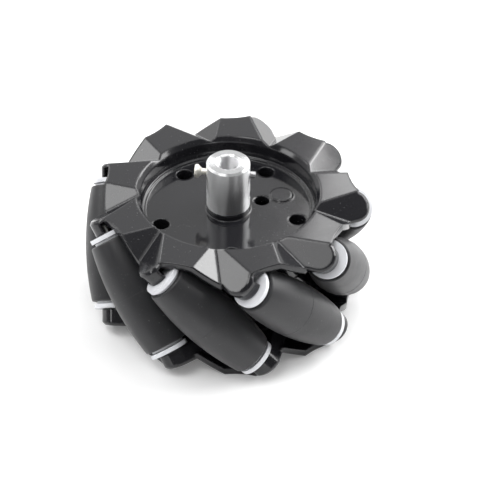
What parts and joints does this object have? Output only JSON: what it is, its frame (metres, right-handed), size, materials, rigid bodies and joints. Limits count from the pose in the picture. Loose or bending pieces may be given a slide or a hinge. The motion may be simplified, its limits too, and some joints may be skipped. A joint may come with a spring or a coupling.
{
  "type": "mecanum wheel",
  "caption": "Mecanum wheel: barrel rollers tilted at 45 degrees between two folded hub halves, with a shaft coupling clamped by screws.",
  "frame": {"origin": "centre of the wheel: on the shaft bore's axis, midway between the two hub halves", "axes": "+Z along the wheel's axis, out of the coupling's open end; +X through the middle of the first roller; the part lies on the flat lands of its lower hub half"},
  "size_m": [0.0801, 0.08, 0.0467],
  "materials": {
    "hub_plastic": "glossy moulded black plastic",
    "tread_rubber": "satin black moulded rubber",
    "core_plastic": "plain white moulded plastic",
    "pin_steel": "drawn bright steel",
    "washer_steel": "bright stamped steel",
    "coupling_metal": "fine turned bright aluminium",
    "coupling_screw_metal": "bright plated steel",
    "dark_screw_metal": "black oxide steel"
  },
  "bodies": {
    "hub": {"upper_hub_half": "hub_plastic", "lower_hub_half": "hub_plastic", "shaft_coupling": "coupling_metal", "clamp_screw": "coupling_screw_metal", "grub_screw": "coupling_screw_metal", "shell_screws": "dark_screw_metal", "retaining_washer": "washer_steel", "retaining_screw": "dark_screw_metal", "axle_pin_1": "pin_steel", "axle_pin_2": "pin_steel", "axle_pin_3": "pin_steel", "axle_pin_4": "pin_steel", "axle_pin_5": "pin_steel", "axle_pin_6": "pin_steel", "axle_pin_7": "pin_steel", "axle_pin_8": "pin_steel", "axle_pin_9": "pin_steel", "end_washers_1": "core_plastic", "end_washers_2": "core_plastic", "end_washers_3": "core_plastic", "end_washers_4": "core_plastic", "end_washers_5": "core_plastic", "end_washers_6": "core_plastic", "end_washers_7": "core_plastic", "end_washers_8": "core_plastic", "end_washers_9": "core_plastic"},
    "roller_1": {"roller_tread_1": "tread_rubber", "roller_core_1": "core_plastic"},
    "roller_2": {"roller_tread_2": "tread_rubber", "roller_core_2": "core_plastic"},
    "roller_3": {"roller_tread_3": "tread_rubber", "roller_core_3": "core_plastic"},
    "roller_4": {"roller_tread_4": "tread_rubber", "roller_core_4": "core_plastic"},
    "roller_5": {"roller_tread_5": "tread_rubber", "roller_core_5": "core_plastic"},
    "roller_6": {"roller_tread_6": "tread_rubber", "roller_core_6": "core_plastic"},
    "roller_7": {"roller_tread_7": "tread_rubber", "roller_core_7": "core_plastic"},
    "roller_8": {"roller_tread_8": "tread_rubber", "roller_core_8": "core_plastic"},
    "roller_9": {"roller_tread_9": "tread_rubber", "roller_core_9": "core_plastic"}
  },
  "joints": [
    {"name": "roller_1_spin", "type": "hinge", "parent": "hub", "child": "roller_1", "pos_m": [0.0323, 0, 0], "axis": [0, -0.7071, 0.7071], "continuous": true},
    {"name": "roller_2_spin", "type": "hinge", "parent": "hub", "child": "roller_2", "pos_m": [0.02474, 0.02076, 0], "axis": [0.4545, -0.5417, 0.7071], "continuous": true},
    {"name": "roller_3_spin", "type": "hinge", "parent": "hub", "child": "roller_3", "pos_m": [0.00561, 0.03181, 0], "axis": [0.6964, -0.1228, 0.7071], "continuous": true},
    {"name": "roller_4_spin", "type": "hinge", "parent": "hub", "child": "roller_4", "pos_m": [-0.01615, 0.02797, 0], "axis": [0.6124, 0.3536, 0.7071], "continuous": true},
    {"name": "roller_5_spin", "type": "hinge", "parent": "hub", "child": "roller_5", "pos_m": [-0.03035, 0.01105, 0], "axis": [0.2418, 0.6645, 0.7071], "continuous": true},
    {"name": "roller_6_spin", "type": "hinge", "parent": "hub", "child": "roller_6", "pos_m": [-0.03035, -0.01105, 0], "axis": [-0.2418, 0.6645, 0.7071], "continuous": true},
    {"name": "roller_7_spin", "type": "hinge", "parent": "hub", "child": "roller_7", "pos_m": [-0.01615, -0.02797, 0], "axis": [-0.6124, 0.3536, 0.7071], "continuous": true},
    {"name": "roller_8_spin", "type": "hinge", "parent": "hub", "child": "roller_8", "pos_m": [0.00561, -0.03181, 0], "axis": [-0.6964, -0.1228, 0.7071], "continuous": true},
    {"name": "roller_9_spin", "type": "hinge", "parent": "hub", "child": "roller_9", "pos_m": [0.02474, -0.02076, 0], "axis": [-0.4545, -0.5417, 0.7071], "continuous": true}
  ]
}
